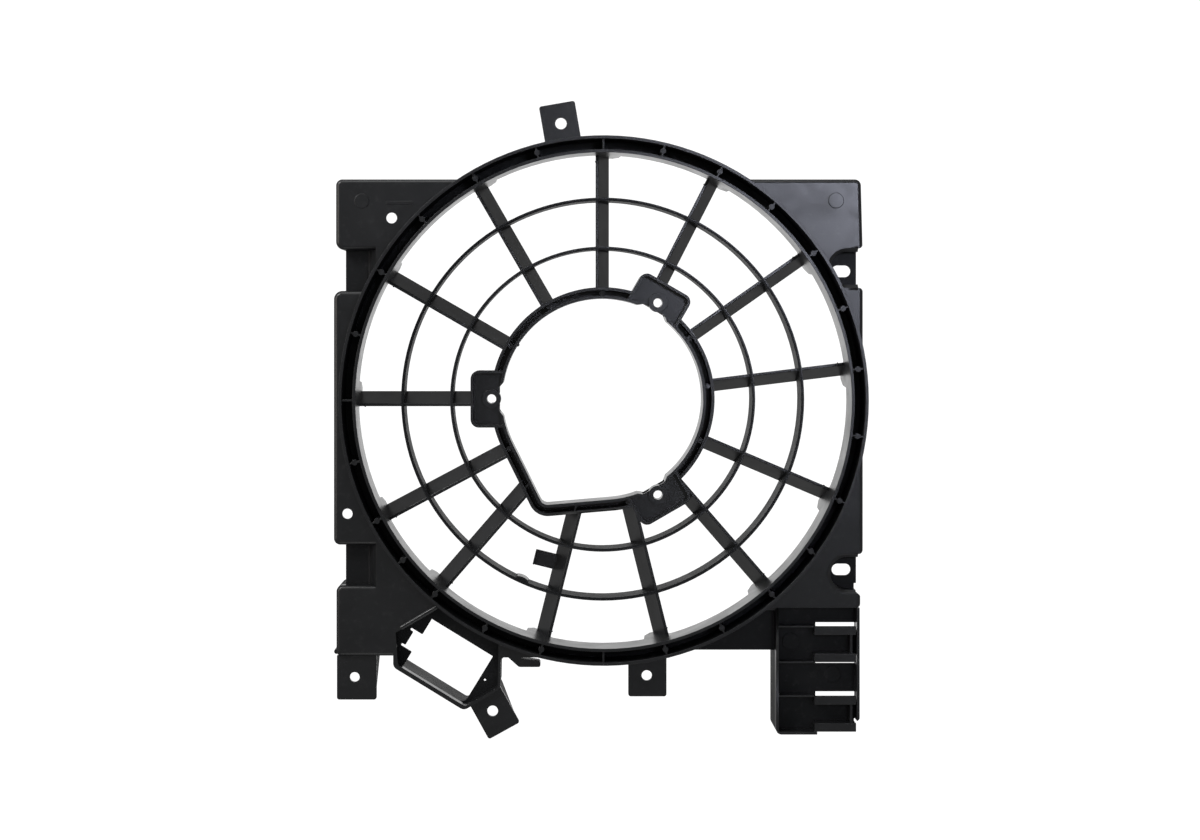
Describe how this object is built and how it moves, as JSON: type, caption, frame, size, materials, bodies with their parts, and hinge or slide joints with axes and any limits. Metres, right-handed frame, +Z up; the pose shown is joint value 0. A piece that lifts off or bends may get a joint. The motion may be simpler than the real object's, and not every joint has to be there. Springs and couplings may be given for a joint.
{
  "type": "radiator fan shroud",
  "caption": "One-piece moulded fan shroud: channelled ring, leaning vanes with guard rings, lugged motor ring, corner panels, fixing tabs, resistor frame, relay bracket.",
  "frame": {"origin": "centre of the motor's bolt circle, on the plane of the three boss faces", "axes": "+X to the right and +Z up as seen from the engine side, +Y towards the radiator"},
  "size_m": [0.379, 0.05, 0.4554],
  "materials": {
    "moulded_plastic": "black glass-filled polyamide, as moulded, half gloss"
  },
  "bodies": {
    "root": {"cable_hook": "moulded_plastic", "deep_plate": "moulded_plastic", "fan_ring": "moulded_plastic", "fan_ring_ribs": "moulded_plastic", "guard_ring_inner": "moulded_plastic", "guard_ring_outer": "moulded_plastic", "motor_lug_left": "moulded_plastic", "motor_lug_lower": "moulded_plastic", "motor_lug_upper": "moulded_plastic", "motor_ring": "moulded_plastic", "motor_ring_ribs": "moulded_plastic", "panel_bottom_left": "moulded_plastic", "panel_bottom_right": "moulded_plastic", "panel_left": "moulded_plastic", "panel_right_lower": "moulded_plastic", "panel_right_upper": "moulded_plastic", "panel_top_left": "moulded_plastic", "panel_top_right": "moulded_plastic", "recess_lower_left": "moulded_plastic", "recess_upper_left": "moulded_plastic", "relay_bracket": "moulded_plastic", "relay_rails": "moulded_plastic", "relay_ribs": "moulded_plastic", "resistor_frame": "moulded_plastic", "rim_wall_left": "moulded_plastic", "skirt_bottom": "moulded_plastic", "skirt_right": "moulded_plastic", "skirt_top": "moulded_plastic", "slotted_ear_lower": "moulded_plastic", "slotted_ear_upper": "moulded_plastic", "tab_bottom": "moulded_plastic", "tab_bottom_left": "moulded_plastic", "tab_resistor": "moulded_plastic", "tab_top": "moulded_plastic", "vane_01": "moulded_plastic", "vane_02": "moulded_plastic", "vane_03": "moulded_plastic", "vane_04": "moulded_plastic", "vane_05": "moulded_plastic", "vane_06": "moulded_plastic", "vane_07": "moulded_plastic", "vane_08": "moulded_plastic", "vane_09": "moulded_plastic", "vane_10": "moulded_plastic", "vane_11": "moulded_plastic", "vane_12": "moulded_plastic", "vane_13": "moulded_plastic", "vane_cable_clip": "moulded_plastic", "vane_roots": "moulded_plastic"}
  },
  "joints": []
}
